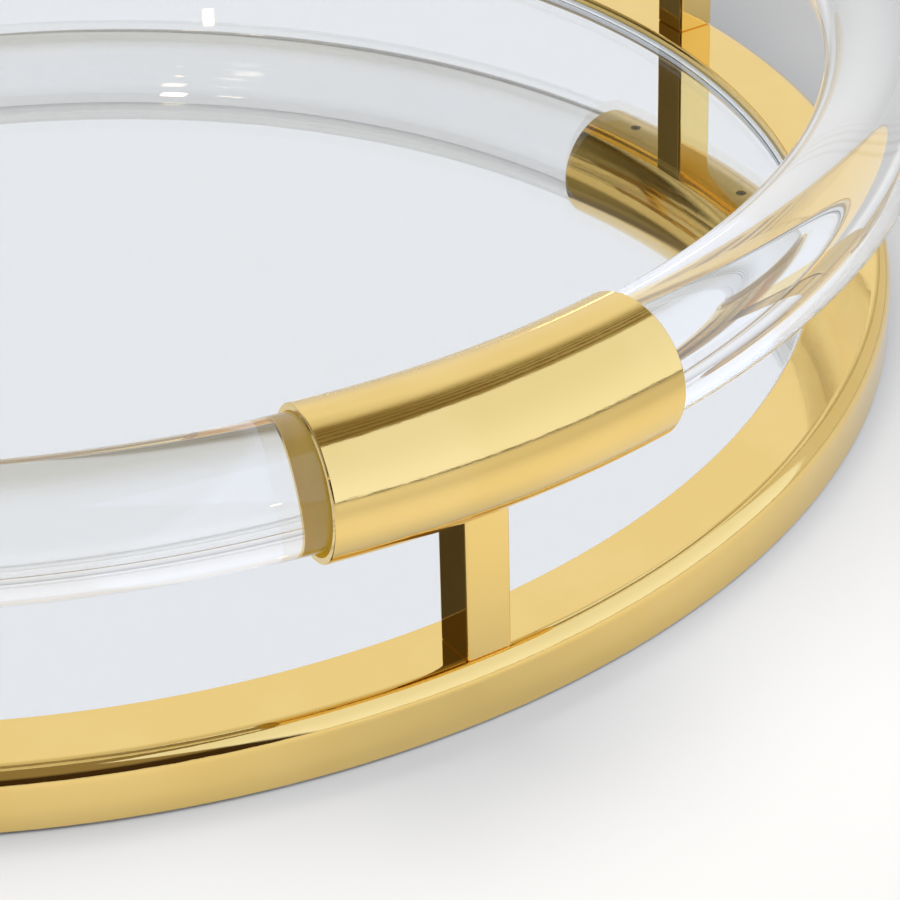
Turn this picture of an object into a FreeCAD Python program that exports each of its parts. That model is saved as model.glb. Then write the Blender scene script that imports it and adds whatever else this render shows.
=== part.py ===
import FreeCAD, Part
import math
import os

import Sketcher

# Round mirrored vanity tray with a gallery rail.
#
# A gold ring holds a board, a mirror and a felt pad.  Four square posts stand on the ring and
# carry four curved sleeves.  Four clear rods, each a quarter of the rail, plug into the sleeves
# and are held by grub screws from below.
#
# Frame: +Z up, origin on the table under the centre of the tray.
# The posts stand on the -Y (front), +X (right), +Y (back) and -X (left) axes.

QUARTERS = 4

# name: (value, what it is); lengths in millimetres, angles in degrees
DIMENSIONS = {
    "RingOuterRadius": (150.0, "outer wall of the base ring"),
    "RingInnerRadius": (137.5, "wall round the mirror"),
    "RingBottom": (0.5, "underside of the ring above the table"),
    "RingTop": (10.4, "flat top of the ring above the table"),
    "RingOuterRounding": (3.0, "rounding of the ring's outer top edge"),
    "RingInnerRounding": (0.3, "rounding of the ring's inner top edge"),
    "RingFootChamfer": (0.3, "chamfer of the ring's outer bottom edge"),
    "LedgeInnerRadius": (131.0, "opening inside the ledge that carries the board"),
    "LedgeThickness": (1.5, "thickness of that ledge"),
    "FeltRadius": (130.6, "felt pad"),
    "BoardRadius": (137.0, "backing board"),
    "GlassRadius": (137.2, "mirror glass"),
    "GlassTop": (9.1, "face of the mirror above the table"),
    "GlassThickness": (3.0, "mirror glass"),
    "GlassArris": (0.4, "ground edges of the glass"),
    "SilverRadius": (136.6, "silvered layer under the glass"),
    "SilverThickness": (0.1, "silvered layer with its paint"),
    "TapeThickness": (0.8, "foam mirror tape"),
    "TapeWidth": (19.0, "width of one strip of tape"),
    "TapeStart": (40.0, "inner end of each strip"),
    "TapeEnd": (115.0, "outer end of each strip"),
    "TapeCount": (8.0, "strips of tape"),
    "RailRadius": (147.0, "centre line of the rail"),
    "RailHeight": (46.1, "centre line of the sleeves above the table"),
    "SleeveRadius": (10.9, "outside of the sleeve tube"),
    "BoreRadius": (9.9, "inside of the sleeve tube"),
    "SleeveSweep": (20.4, "angle that one sleeve covers"),
    "SleeveEndRounding": (0.25, "rounding of the sleeve's outer end edges"),
    "RodRadius": (9.5, "clear rod"),
    "RodLift": (0.35, "how far the grub screws push the rod above the sleeve's centre line"),
    "RodSweep": (86.0, "angle that one rod covers, ends included"),
    "RodEndChamfer": (0.4, "chamfer of the rod's ends"),
    "PostRadius": (144.8, "centre of the posts"),
    "PostSide": (7.2, "side of the square post"),
    "PostRounding": (0.5, "rounding of the post's upright edges"),
    "PostFootChamfer": (0.2, "chamfer round the foot of the post"),
    "PostScrewRadius": (1.95, "shank of the screw that holds a post to the ring"),
    "PostScrewHole": (2.0, "hole for that shank"),
    "PostScrewHeadRadius": (3.5, "head of that screw"),
    "PostScrewHeadHeight": (2.4, "head of that screw"),
    "PostScrewRecess": (3.8, "radius of the recess for that head"),
    "PostScrewReach": (9.0, "how far that screw goes into the post"),
    "PostScrewInset": (0.1, "how far its head lies inside the ring's underside"),
    "PostScrewSocket": (1.45, "corner radius of its hexagon socket"),
    "BoardScrewCircle": (134.2, "pitch radius of the board screws"),
    "BoardScrewCount": (8.0, "board screws"),
    "BoardScrewRadius": (1.15, "shank of a board screw"),
    "BoardScrewHole": (1.2, "hole for that shank"),
    "BoardScrewHeadRadius": (2.1, "head of a board screw"),
    "BoardScrewHeadHeight": (0.8, "head of a board screw"),
    "BoardScrewRecess": (2.3, "radius of the recess for that head"),
    "BoardScrewReach": (2.6, "how far a board screw goes into the board"),
    "SleeveScrewRadius": (1.5, "shank of the screw that holds a sleeve to its post"),
    "SleeveScrewHole": (1.6, "hole for that shank"),
    "SleeveScrewHeadRadius": (2.8, "head of that screw"),
    "SleeveScrewHeadHeight": (1.6, "head of that screw"),
    "SleeveScrewReach": (8.0, "how far that screw reaches below its washer"),
    "SleeveScrewSocket": (1.15, "corner radius of its hexagon socket"),
    "WasherRadius": (3.2, "saddle washer inside the sleeve"),
    "WasherTop": (38.2, "flat top of that washer above the table"),
    "BlindSpare": (1.0, "how much deeper a blind hole goes than its screw"),
    "SocketShare": (0.6, "depth of a cap screw's socket as a share of its head"),
    "GrubAngle": (6.6, "angle from a post to each grub screw beside it"),
    "GrubRadius": (0.98, "grub screw"),
    "GrubHole": (1.0, "hole for it in the sleeve"),
    "GrubLength": (2.0, "grub screw"),
    "GrubRecess": (0.15, "how far its end lies inside the sleeve's surface"),
    "GrubSocket": (0.52, "corner radius of its hexagon socket"),
    "GrubSocketDepth": (0.9, "depth of that socket"),
    "DimpleRadius": (1.05, "dimple in the rod for the grub screw's tip"),
    "DimpleDepth": (0.45, "how deep that dimple is"),
}

doc = FreeCAD.newDocument("VanityTray")
dims = doc.addObject("Spreadsheet::Sheet", "Dims")


def fill_sheet():
    """One row for each dimension: its meaning, and its value under an alias."""
    for row, (name, (value, meaning)) in enumerate(DIMENSIONS.items(), start=1):
        dims.set("A%d" % row, meaning)
        dims.set("B%d" % row, "%g" % value)
        dims.setAlias("B%d" % row, name)
    doc.recompute()


fill_sheet()


def value(expression):
    """The number that an expression on the sheet gives."""
    result = dims.evalExpression(expression)
    return float(getattr(result, "Value", result))


# ---- bodies, sketches and features -------------------------------------------------------------

def new_body(label, turn=0.0):
    """A body whose frame is the tray's own, turned about +Z by a number of degrees."""
    body = doc.addObject("PartDesign::Body", label)
    body.Label = label
    body.AllowCompound = True
    body.Placement = FreeCAD.Placement(
        FreeCAD.Vector(0, 0, 0), FreeCAD.Rotation(FreeCAD.Vector(0, 0, 1), turn))
    return body


def origin_feature(body, role):
    """A plane or axis of the body's own origin."""
    return next(f for f in body.Origin.OriginFeatures if f.Role == role)


def new_sketch(body, name, role, height=None):
    """A sketch on an origin plane; a sketch on XY_Plane may stand at a height."""
    sketch = body.newObject("Sketcher::SketchObject", body.Name + "_" + name)
    sketch.AttachmentSupport = (origin_feature(body, role), [""])
    sketch.MapMode = "FlatFace"
    if height is not None:
        sketch.setExpression(".AttachmentOffset.Base.z", height)
    return sketch


def pin_point(sketch, geometry, end, across, up):
    """Hold one point of a sketch at two expressions; "0" means on the axis."""
    for kind, axis, expression in (("DistanceX", -2, across), ("DistanceY", -1, up)):
        if expression == "0":
            sketch.addConstraint(Sketcher.Constraint("PointOnObject", geometry, end, axis))
            continue
        size = value(expression)
        if size < 0:
            made = Sketcher.Constraint(kind, geometry, end, -1, 1, -size)
            expression = "-(%s)" % expression
        else:
            made = Sketcher.Constraint(kind, -1, 1, geometry, end, size)
        index = sketch.addConstraint(made)
        sketch.setExpression("Constraints[%d]" % index, expression)


def add_circle(sketch, across, up, radius):
    """A circle whose centre and radius are expressions."""
    centre = FreeCAD.Vector(value(across), value(up), 0)
    circle = Part.Circle(centre, FreeCAD.Vector(0, 0, 1), value(radius))
    index = sketch.addGeometry(circle, False)
    pin_point(sketch, index, 3, across, up)
    size = sketch.addConstraint(Sketcher.Constraint("Radius", index, value(radius)))
    sketch.setExpression("Constraints[%d]" % size, radius)


def add_outline(sketch, points):
    """A closed outline of straight lines through points given as pairs of expressions."""
    corners = [FreeCAD.Vector(value(x), value(y), 0) for x, y in points]
    count = len(corners)
    first = sketch.GeometryCount
    for i in range(count):
        sketch.addGeometry(Part.LineSegment(corners[i], corners[(i + 1) % count]), False)
    for i in range(count):
        following = first + (i + 1) % count
        sketch.addConstraint(Sketcher.Constraint("Coincident", first + i, 2, following, 1))
    for i, (x, y) in enumerate(points):
        pin_point(sketch, first + i, 1, x, y)


def add_hexagon(sketch, across, up, corner_radius):
    """A hexagon socket with its first corner along the sketch's own X."""
    points = []
    for i in range(6):
        turn = "%d deg" % (60 * i)
        x = "(%s) + (%s) * cos(%s)" % (across, corner_radius, turn)
        y = "(%s) + (%s) * sin(%s)" % (up, corner_radius, turn)
        points.append((x, y if up != "0" or i % 3 else "0"))
    add_outline(sketch, points)


def revolve(body, sketch, angle=None):
    """Turn a sketch about +Z: all the way round, or half of an angle to each side."""
    feature = body.newObject("PartDesign::Revolution", sketch.Name + "_turned")
    feature.Profile = sketch
    feature.ReferenceAxis = (origin_feature(body, "Z_Axis"), [""])
    feature.Angle = 360.0
    if angle is not None:
        feature.Midplane = True
        feature.setExpression("Angle", angle)
    finish_feature(body, feature, sketch)
    return feature


def pad(body, sketch, length):
    """Raise a sketch of XY_Plane upwards by a length."""
    feature = body.newObject("PartDesign::Pad", sketch.Name + "_raised")
    feature.Profile = sketch
    feature.setExpression("Length", length)
    finish_feature(body, feature, sketch)
    return feature


def finish_feature(body, feature, sketch):
    """Make a feature the body's result."""
    body.Tip = feature
    sketch.Visibility = False
    doc.recompute()


def cut(body, sketch, kind, **settings):
    """A Pocket or Groove, which has to take something away."""
    before = body.Shape.Volume
    feature = body.newObject("PartDesign::" + kind, sketch.Name + "_cut")
    feature.Profile = sketch
    for name, setting in settings.items():
        setattr(feature, name, setting)
    finish_feature(body, feature, sketch)
    if body.Shape.Volume > before - 1e-3:
        raise RuntimeError("%s cut nothing" % feature.Name)
    return feature


def pocket(body, sketch, length, upwards=False):
    """Cut a sketch of XY_Plane downwards, or upwards, by a length."""
    feature = cut(body, sketch, "Pocket", Reversed=upwards, Length=value(length))
    feature.setExpression("Length", length)
    doc.recompute()
    return feature


def groove(body, sketch):
    """Turn a sketch about +Z all the way round and take it away."""
    axis = (origin_feature(body, "Z_Axis"), [""])
    return cut(body, sketch, "Groove", ReferenceAxis=axis, Angle=360.0)


def repeat_round(body, originals, count):
    """Repeat features evenly about +Z."""
    feature = body.newObject("PartDesign::PolarPattern", originals[0].Name + "_repeated")
    feature.Originals = originals
    feature.Axis = (origin_feature(body, "Z_Axis"), [""])
    feature.Angle = 360.0
    feature.Occurrences = count
    body.Tip = feature
    doc.recompute()
    return feature


def dress(body, kind, wanted, size_name, size):
    """Fillet or Chamfer the edges of the body's result that a test wants."""
    base = body.Tip
    names = ["Edge%d" % i for i, edge in enumerate(base.Shape.Edges, start=1) if wanted(edge)]
    if not names:
        raise RuntimeError("no edge to dress on %s" % body.Label)
    feature = body.newObject("PartDesign::" + kind, base.Name + "_" + kind.lower())
    feature.Base = (base, names)
    feature.setExpression(size_name, size)
    body.Tip = feature
    doc.recompute()
    return feature


def fillet(body, wanted, size):
    return dress(body, "Fillet", wanted, "Radius", size)


def chamfer(body, wanted, size):
    return dress(body, "Chamfer", wanted, "Size", size)


# ---- tests for edges ---------------------------------------------------------------------------

TOLERANCE = 1e-3


def ring_edge(radius, height):
    """An edge that goes round +Z at a radius and a height."""
    def wanted(edge):
        if not isinstance(edge.Curve, Part.Circle):
            return False
        centre = edge.Curve.Center
        on_axis = math.hypot(centre.x, centre.y) < TOLERANCE
        right_radius = abs(edge.Curve.Radius - value(radius)) < TOLERANCE
        return on_axis and right_radius and abs(centre.z - value(height)) < TOLERANCE
    return wanted


def end_edge(radius):
    """A circular edge round the end of a bent rod or tube."""
    def wanted(edge):
        is_circle = isinstance(edge.Curve, Part.Circle)
        upright = is_circle and abs(edge.Curve.Axis.z) < TOLERANCE
        return upright and abs(edge.Curve.Radius - value(radius)) < TOLERANCE
    return wanted


def upright_edge(edge):
    """A straight edge along +Z."""
    return isinstance(edge.Curve, Part.Line) and abs(edge.Curve.Direction.z) > 1 - TOLERANCE


def level_edge(height):
    """An edge that lies flat at a height and isn't round a screw hole."""
    corner_limit = value("Dims.PostRounding") + TOLERANCE

    def wanted(edge):
        box = edge.BoundBox
        flat = abs(box.ZMin - value(height)) < TOLERANCE and box.ZLength < TOLERANCE
        is_hole = isinstance(edge.Curve, Part.Circle) and edge.Curve.Radius > corner_limit
        return flat and not is_hole
    return wanted


# ---- heights and places worked out from the driving dimensions ---------------------------------

LEDGE_TOP = "(Dims.RingBottom + Dims.LedgeThickness)"
GLASS_BOTTOM = "(Dims.GlassTop - Dims.GlassThickness)"
SILVER_BOTTOM = "(%s - Dims.SilverThickness)" % GLASS_BOTTOM
BOARD_TOP = "(%s - Dims.TapeThickness)" % SILVER_BOTTOM
ROD_HEIGHT = "(Dims.RailHeight + Dims.RodLift)"
ROD_BOTTOM = "(%s - Dims.RodRadius)" % ROD_HEIGHT
SLEEVE_BOTTOM = "(Dims.RailHeight - Dims.SleeveRadius)"
GRUB_BOTTOM = "(%s + Dims.GrubRecess)" % SLEEVE_BOTTOM
POST_HEAD_SEAT = "(Dims.RingBottom + Dims.PostScrewInset + Dims.PostScrewHeadHeight)"
BOARD_HEAD_SEAT = "(Dims.RingBottom + Dims.BoardScrewHeadHeight)"


def round_place(radius, angle):
    """Two expressions for the place at a radius and an angle."""
    return ("(%s) * cos((%s) * 1 deg)" % (radius, angle), "(%s) * sin((%s) * 1 deg)" % (radius, angle))


# ---- base --------------------------------------------------------------------------------------

def disc(label, radius, bottom, thickness):
    """A round plate about the tray's axis."""
    body = new_body(label)
    sketch = new_sketch(body, "outline", "XY_Plane", bottom)
    add_circle(sketch, "0", "0", radius)
    pad(body, sketch, thickness)
    return body


def make_base_ring():
    """The gold ring: an upright wall with a ledge inside its foot, and holes for the screws."""
    body = new_body("base_ring")
    section = new_sketch(body, "section", "XZ_Plane")
    add_outline(section, [
        ("Dims.LedgeInnerRadius", "Dims.RingBottom"),
        ("Dims.RingOuterRadius", "Dims.RingBottom"),
        ("Dims.RingOuterRadius", "Dims.RingTop"),
        ("Dims.RingInnerRadius", "Dims.RingTop"),
        ("Dims.RingInnerRadius", LEDGE_TOP),
        ("Dims.LedgeInnerRadius", LEDGE_TOP),
    ])
    revolve(body, section)
    fillet(body, ring_edge("Dims.RingOuterRadius", "Dims.RingTop"), "Dims.RingOuterRounding")
    fillet(body, ring_edge("Dims.RingInnerRadius", "Dims.RingTop"), "Dims.RingInnerRounding")
    chamfer(body, ring_edge("Dims.RingOuterRadius", "Dims.RingBottom"), "Dims.RingFootChamfer")

    shank = new_sketch(body, "post_hole", "XY_Plane", "Dims.RingBottom")
    add_circle(shank, "Dims.PostRadius", "0", "Dims.PostScrewHole")
    shank_cut = pocket(body, shank, "Dims.RingTop", upwards=True)
    recess = new_sketch(body, "post_recess", "XY_Plane", POST_HEAD_SEAT)
    add_circle(recess, "Dims.PostRadius", "0", "Dims.PostScrewRecess")
    recess_cut = pocket(body, recess, POST_HEAD_SEAT)
    repeat_round(body, [shank_cut, recess_cut], QUARTERS)

    half_step = "180 / Dims.BoardScrewCount"
    x, y = round_place("Dims.BoardScrewCircle", half_step)
    shank = new_sketch(body, "board_hole", "XY_Plane", LEDGE_TOP)
    add_circle(shank, x, y, "Dims.BoardScrewHole")
    shank_cut = pocket(body, shank, LEDGE_TOP)
    recess = new_sketch(body, "board_recess", "XY_Plane", BOARD_HEAD_SEAT)
    add_circle(recess, x, y, "Dims.BoardScrewRecess")
    recess_cut = pocket(body, recess, BOARD_HEAD_SEAT)
    repeat_round(body, [shank_cut, recess_cut], int(value("Dims.BoardScrewCount")))
    return body


def make_base_board():
    """The board under the mirror, with pilot holes for its screws."""
    thickness = "%s - %s" % (BOARD_TOP, LEDGE_TOP)
    body = disc("base_board", "Dims.BoardRadius", LEDGE_TOP, thickness)
    x, y = round_place("Dims.BoardScrewCircle", "180 / Dims.BoardScrewCount")
    pilot = new_sketch(body, "pilot", "XY_Plane", LEDGE_TOP)
    add_circle(pilot, x, y, "Dims.BoardScrewHole")
    pilot_cut = pocket(body, pilot, "Dims.BoardScrewReach", upwards=True)
    repeat_round(body, [pilot_cut], int(value("Dims.BoardScrewCount")))
    return body


def make_mirror_glass():
    """The clear glass, with both of its edges ground."""
    body = disc("mirror_glass", "Dims.GlassRadius", GLASS_BOTTOM, "Dims.GlassThickness")
    chamfer(body, ring_edge("Dims.GlassRadius", "Dims.GlassTop"), "Dims.GlassArris")
    chamfer(body, ring_edge("Dims.GlassRadius", GLASS_BOTTOM), "Dims.GlassArris")
    return body


def make_mirror_tape():
    """Strips of foam tape that point away from the centre."""
    body = new_body("mirror_tape")
    strip = new_sketch(body, "strip", "XY_Plane", BOARD_TOP)
    side = "Dims.TapeWidth / 2"
    add_outline(strip, [
        ("Dims.TapeStart", "-" + side),
        ("Dims.TapeEnd", "-" + side),
        ("Dims.TapeEnd", side),
        ("Dims.TapeStart", side),
    ])
    raised = pad(body, strip, "Dims.TapeThickness")
    repeat_round(body, [raised], int(value("Dims.TapeCount")))
    return body


# ---- screws ------------------------------------------------------------------------------------

def make_screw_group(label, place, radii, heights, socket, count, head_up):
    """Equal cap screws along +Z, repeated about the tray's axis.

    radii are those of the head and the shank; heights are the head's free end, its seat and the
    shank's free end; head_up says that the head is the upper end.
    """
    body = new_body(label)
    across, up = place
    head_end, seat, shank_end = heights
    low_head = seat if head_up else head_end
    low_shank = shank_end if head_up else seat
    head_height = "%s - %s" % ((head_end, seat) if head_up else (seat, head_end))
    shank_height = "%s - %s" % ((seat, shank_end) if head_up else (shank_end, seat))
    head = new_sketch(body, "head", "XY_Plane", low_head)
    add_circle(head, across, up, radii[0])
    head_pad = pad(body, head, head_height)
    shank = new_sketch(body, "shank", "XY_Plane", low_shank)
    add_circle(shank, across, up, radii[1])
    shank_pad = pad(body, shank, shank_height)
    hexagon = new_sketch(body, "socket", "XY_Plane", head_end)
    add_hexagon(hexagon, across, up, socket)
    socket_cut = pocket(body, hexagon, "(%s) * Dims.SocketShare" % head_height, upwards=not head_up)
    repeat_round(body, [head_pad, shank_pad, socket_cut], count)
    return body


def make_post_screws():
    """Cap screws that go up through the ring into the posts."""
    shank_end = "(Dims.RingTop + Dims.PostScrewReach)"
    head_end = "(%s - Dims.PostScrewHeadHeight)" % POST_HEAD_SEAT
    return make_screw_group(
        "post_screws", ("Dims.PostRadius", "0"),
        ("Dims.PostScrewHeadRadius", "Dims.PostScrewRadius"),
        (head_end, POST_HEAD_SEAT, shank_end), "Dims.PostScrewSocket", QUARTERS, head_up=False)


def make_board_screws():
    """Short screws that go up through the ledge into the board."""
    place = round_place("Dims.BoardScrewCircle", "180 / Dims.BoardScrewCount")
    shank_end = "(%s + Dims.BoardScrewReach)" % LEDGE_TOP
    return make_screw_group(
        "board_screws", place,
        ("Dims.BoardScrewHeadRadius", "Dims.BoardScrewRadius"),
        ("Dims.RingBottom", BOARD_HEAD_SEAT, shank_end), "Dims.BoardScrewRadius",
        int(value("Dims.BoardScrewCount")), head_up=False)


def make_sleeve_screws():
    """Cap screws that go down through the sleeves into the posts."""
    head_end = "(Dims.WasherTop + Dims.SleeveScrewHeadHeight)"
    shank_end = "(Dims.WasherTop - Dims.SleeveScrewReach)"
    return make_screw_group(
        "sleeve_screws", ("Dims.PostRadius", "0"),
        ("Dims.SleeveScrewHeadRadius", "Dims.SleeveScrewRadius"),
        (head_end, "Dims.WasherTop", shank_end), "Dims.SleeveScrewSocket", QUARTERS, head_up=True)


def make_saddle_washers():
    """Washers flat on top, whose undersides fit the sleeve's bore."""
    body = new_body("saddle_washers")
    blank = new_sketch(body, "blank", "XY_Plane", SLEEVE_BOTTOM)
    add_circle(blank, "Dims.PostRadius", "0", "Dims.WasherRadius")
    add_circle(blank, "Dims.PostRadius", "0", "Dims.SleeveScrewHole")
    pad(body, blank, "Dims.WasherTop - %s" % SLEEVE_BOTTOM)
    below = new_sketch(body, "below_bore", "XZ_Plane")
    add_outline_with_bore(below)
    groove(body, below)
    repeat_whole(body)
    return body


def add_outline_with_bore(sketch):
    """A box round the sleeve's section, with the bore left out of it."""
    reach = "Dims.SleeveRadius * 2"
    left = "Dims.RailRadius - " + reach
    right = "Dims.RailRadius + " + reach
    low = "Dims.RailHeight - " + reach
    high = "Dims.RailHeight + " + reach
    add_outline(sketch, [(left, low), (right, low), (right, high), (left, high)])
    add_circle(sketch, "Dims.RailRadius", "Dims.RailHeight", "Dims.BoreRadius")


def repeat_whole(body):
    """Repeat everything that the body holds so far in each quarter."""
    feature = body.newObject("PartDesign::PolarPattern", body.Name + "_quarters")
    feature.TransformMode = "Whole shape"
    feature.Axis = (origin_feature(body, "Z_Axis"), [""])
    feature.Angle = 360.0
    feature.Occurrences = QUARTERS
    body.Tip = feature
    doc.recompute()


def make_grub_screws():
    """Grub screws in the underside of each sleeve, one at each side of its post."""
    body = new_body("grub_screws")
    places = [round_place("Dims.RailRadius", sign + "Dims.GrubAngle") for sign in ("", "-")]
    thread = new_sketch(body, "thread", "XY_Plane", GRUB_BOTTOM)
    for x, y in places:
        add_circle(thread, x, y, "Dims.GrubRadius")
    thread_pad = pad(body, thread, "Dims.GrubLength")
    hexagon = new_sketch(body, "socket", "XY_Plane", GRUB_BOTTOM)
    for x, y in places:
        add_hexagon(hexagon, x, y, "Dims.GrubSocket")
    socket_cut = pocket(body, hexagon, "Dims.GrubSocketDepth", upwards=True)
    repeat_round(body, [thread_pad, socket_cut], QUARTERS)
    return body


# ---- posts, sleeves and rods -------------------------------------------------------------------

def make_post(label, turn):
    """A square post whose top is hollowed to fit under the sleeve."""
    body = new_body(label, turn)
    half = "Dims.PostSide / 2"
    near = "Dims.PostRadius - " + half
    far = "Dims.PostRadius + " + half
    square = new_sketch(body, "square", "XY_Plane", "Dims.RingTop")
    add_outline(square, [(near, "-" + half), (far, "-" + half), (far, half), (near, half)])
    pad(body, square, "Dims.RailHeight - Dims.SleeveRadius / 2 - Dims.RingTop")
    fillet(body, upright_edge, "Dims.PostRounding")
    chamfer(body, level_edge("Dims.RingTop"), "Dims.PostFootChamfer")
    tube = new_sketch(body, "tube", "XZ_Plane")
    add_circle(tube, "Dims.RailRadius", "Dims.RailHeight", "Dims.SleeveRadius")
    groove(body, tube)
    lower_hole = new_sketch(body, "lower_hole", "XY_Plane", "Dims.RingTop")
    add_circle(lower_hole, "Dims.PostRadius", "0", "Dims.PostScrewHole")
    pocket(body, lower_hole, "Dims.PostScrewReach + Dims.BlindSpare", upwards=True)
    upper_hole = new_sketch(body, "upper_hole", "XY_Plane", "Dims.RailHeight")
    add_circle(upper_hole, "Dims.PostRadius", "0", "Dims.SleeveScrewHole")
    screw_end = "Dims.RailHeight - Dims.WasherTop + Dims.SleeveScrewReach"
    pocket(body, upper_hole, screw_end + " + Dims.BlindSpare")
    return body


def make_sleeve(label, turn):
    """A short bent tube, with holes below for one screw and two grub screws."""
    body = new_body(label, turn)
    section = new_sketch(body, "section", "XZ_Plane")
    add_circle(section, "Dims.RailRadius", "Dims.RailHeight", "Dims.SleeveRadius")
    add_circle(section, "Dims.RailRadius", "Dims.RailHeight", "Dims.BoreRadius")
    revolve(body, section, "Dims.SleeveSweep")
    fillet(body, end_edge("Dims.SleeveRadius"), "Dims.SleeveEndRounding")
    holes = new_sketch(body, "holes", "XY_Plane", "Dims.RailHeight")
    add_circle(holes, "Dims.PostRadius", "0", "Dims.SleeveScrewHole")
    for sign in ("", "-"):
        x, y = round_place("Dims.RailRadius", sign + "Dims.GrubAngle")
        add_circle(holes, x, y, "Dims.GrubHole")
    pocket(body, holes, "Dims.SleeveRadius + Dims.BlindSpare")
    return body


def make_rod(label, turn):
    """A clear bent rod, centred on its own +X, with a dimple near each end."""
    body = new_body(label, turn)
    section = new_sketch(body, "section", "XZ_Plane")
    add_circle(section, "Dims.RailRadius", ROD_HEIGHT, "Dims.RodRadius")
    revolve(body, section, "Dims.RodSweep")
    chamfer(body, end_edge("Dims.RodRadius"), "Dims.RodEndChamfer")
    dimples = new_sketch(body, "dimples", "XY_Plane", "%s + Dims.DimpleDepth" % ROD_BOTTOM)
    for sign in ("", "-"):
        x, y = round_place("Dims.RailRadius", sign + "(180 / %d - Dims.GrubAngle)" % QUARTERS)
        add_circle(dimples, x, y, "Dims.DimpleRadius")
    pocket(body, dimples, "Dims.DimpleDepth * 2")
    return body


# ---- the whole tray ----------------------------------------------------------------------------

POST_SIDES = {"right": 0.0, "back": 90.0, "left": 180.0, "front": 270.0}
ROD_CORNERS = {"back_right": 45.0, "back_left": 135.0, "front_left": 225.0, "front_right": 315.0}


def make_tray():
    """Every piece of the tray, from the table upwards."""
    pieces = [
        disc("base_felt", "Dims.FeltRadius", "0", LEDGE_TOP),
        make_base_ring(),
        make_base_board(),
        make_board_screws(),
        make_mirror_tape(),
        disc("mirror_silvering", "Dims.SilverRadius", SILVER_BOTTOM, "Dims.SilverThickness"),
        make_mirror_glass(),
        make_post_screws(),
    ]
    pieces += [make_post("post_" + side, turn) for side, turn in POST_SIDES.items()]
    pieces += [make_sleeve("sleeve_" + side, turn) for side, turn in POST_SIDES.items()]
    pieces += [make_saddle_washers(), make_sleeve_screws()]
    pieces += [make_rod("rod_" + corner, turn) for corner, turn in ROD_CORNERS.items()]
    pieces.append(make_grub_screws())
    return pieces


def check_document():
    """Stop if any object of the document failed to build."""
    for item in doc.Objects:
        if "Invalid" in item.State or "Error" in item.State:
            raise RuntimeError("%s is %s" % (item.Label, item.State))


def write_piece(body):
    """Write one piece to its STEP file, once its shape is known to be sound."""
    shape = body.Shape
    if shape.isNull() or not shape.isValid():
        raise RuntimeError("%s has no sound shape" % body.Label)
    shape.exportStep("parts/%s.step" % body.Label)
    print("%-18s %d solid(s) %10.2f mm3" % (body.Label, len(shape.Solids), shape.Volume))


os.makedirs("parts", exist_ok=True)
tray = make_tray()
doc.recompute()
check_document()
for piece in tray:
    write_piece(piece)
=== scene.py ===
import math

import bmesh
import bpy
import numpy as np
from mathutils import Matrix, Vector


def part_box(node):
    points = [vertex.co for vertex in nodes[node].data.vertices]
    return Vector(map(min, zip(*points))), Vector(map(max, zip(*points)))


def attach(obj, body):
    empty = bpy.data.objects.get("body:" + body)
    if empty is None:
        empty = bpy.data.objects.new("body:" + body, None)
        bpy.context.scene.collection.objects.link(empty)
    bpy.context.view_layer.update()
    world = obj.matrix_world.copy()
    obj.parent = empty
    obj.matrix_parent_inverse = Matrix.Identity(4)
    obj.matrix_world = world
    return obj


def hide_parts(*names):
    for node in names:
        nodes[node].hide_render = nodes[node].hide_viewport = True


# Looks for the round mirrored vanity tray: polished gold, clear acrylic rods and a mirror.
#
# The CAD pieces that show polished or clear surfaces are replaced by finer meshes of the same
# shape, whose normals are worked out from the shape itself.  The hidden pieces stay as they are
# and get their own materials.  Everything is in metres, in the tray's own frame.

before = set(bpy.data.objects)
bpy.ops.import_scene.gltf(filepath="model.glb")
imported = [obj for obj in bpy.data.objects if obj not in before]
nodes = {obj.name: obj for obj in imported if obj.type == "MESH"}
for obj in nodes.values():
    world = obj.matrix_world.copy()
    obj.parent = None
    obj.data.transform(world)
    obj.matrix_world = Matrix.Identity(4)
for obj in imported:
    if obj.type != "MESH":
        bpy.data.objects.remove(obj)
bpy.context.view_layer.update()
scene = bpy.context.scene
MM = 0.001

# ---- sizes that the boxes of the CAD pieces don't give directly, in metres -----------------------

ring_low, ring_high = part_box("base_ring")
glass_low, glass_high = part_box("mirror_glass")
silver_low, silver_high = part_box("mirror_silvering")
front_sleeve_low, front_sleeve_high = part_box("sleeve_front")
front_post_low, front_post_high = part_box("post_front")
_, rod_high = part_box("rod_back_right")

RING_OUTER = ring_high.x
RING_INNER = 137.5 * MM
RING_TOP = ring_high.z
RING_BOTTOM = ring_low.z
RING_OUTER_ROUNDING = 3.0 * MM
RING_INNER_ROUNDING = 0.3 * MM
RING_FOOT_CHAMFER = 0.3 * MM
LEDGE_INNER = 131.0 * MM
LEDGE_TOP = RING_BOTTOM + 1.5 * MM
GLASS_RADIUS = glass_high.x
GLASS_ARRIS = 0.4 * MM
RAIL_RADIUS = 147.0 * MM
SLEEVE_RADIUS = (front_sleeve_high.z - front_sleeve_low.z) / 2
SLEEVE_HEIGHT = (front_sleeve_high.z + front_sleeve_low.z) / 2
BORE_RADIUS = SLEEVE_RADIUS - 1.0 * MM
SLEEVE_SWEEP = math.radians(20.4)
ROD_RADIUS = 9.5 * MM
ROD_HEIGHT = rod_high.z - ROD_RADIUS
ROD_SWEEP = math.radians(86.0)
ROD_CHAMFER = 0.4 * MM
POST_RADIUS = (-front_post_high.y - front_post_low.y) / 2
POST_SIDE = front_post_high.x - front_post_low.x
POST_ROUNDING = 0.5 * MM
POST_CHAMFER = 0.2 * MM
POST_LOWER_HOLE_DEPTH = 10 * MM
POST_UPPER_HOLE_FLOOR = 29.2 * MM
POST_SCREW_HOLE = 2.0 * MM
POST_SCREW_RECESS = 3.8 * MM
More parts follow.
